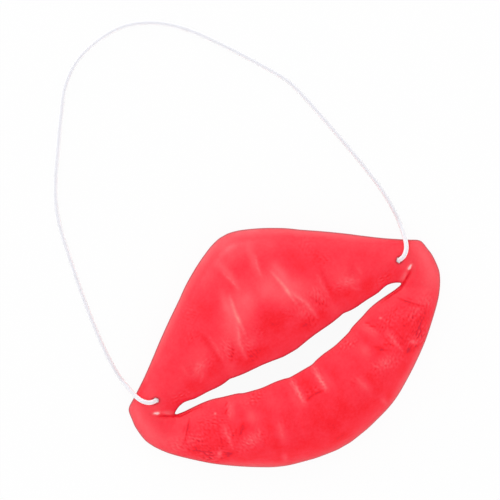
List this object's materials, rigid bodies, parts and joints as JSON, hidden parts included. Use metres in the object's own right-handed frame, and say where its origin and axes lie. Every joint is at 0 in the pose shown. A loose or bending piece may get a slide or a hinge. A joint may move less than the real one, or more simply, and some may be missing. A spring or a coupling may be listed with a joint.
{
  "type": "novelty lips mask",
  "caption": "Moulded red lips worn over the mouth: a thin hollow skin, open along the mouth, on a loop of white elastic knotted behind each corner.",
  "frame": {"origin": "middle of the skin's outline box, on the plane of its rim", "axes": "+X along the mouth, +Y towards the upper lip, +Z out of the face of the lips"},
  "size_m": [0.15, 0.2085, 0.0242],
  "materials": {
    "lips": "glossy soft vinyl, moulded, with cut edges",
    "elastic": "white braided round elastic"
  },
  "bodies": {
    "root": {"lips_shell": "lips", "elastic_cord": "elastic", "left_knot": "elastic", "right_knot": "elastic"}
  },
  "joints": []
}
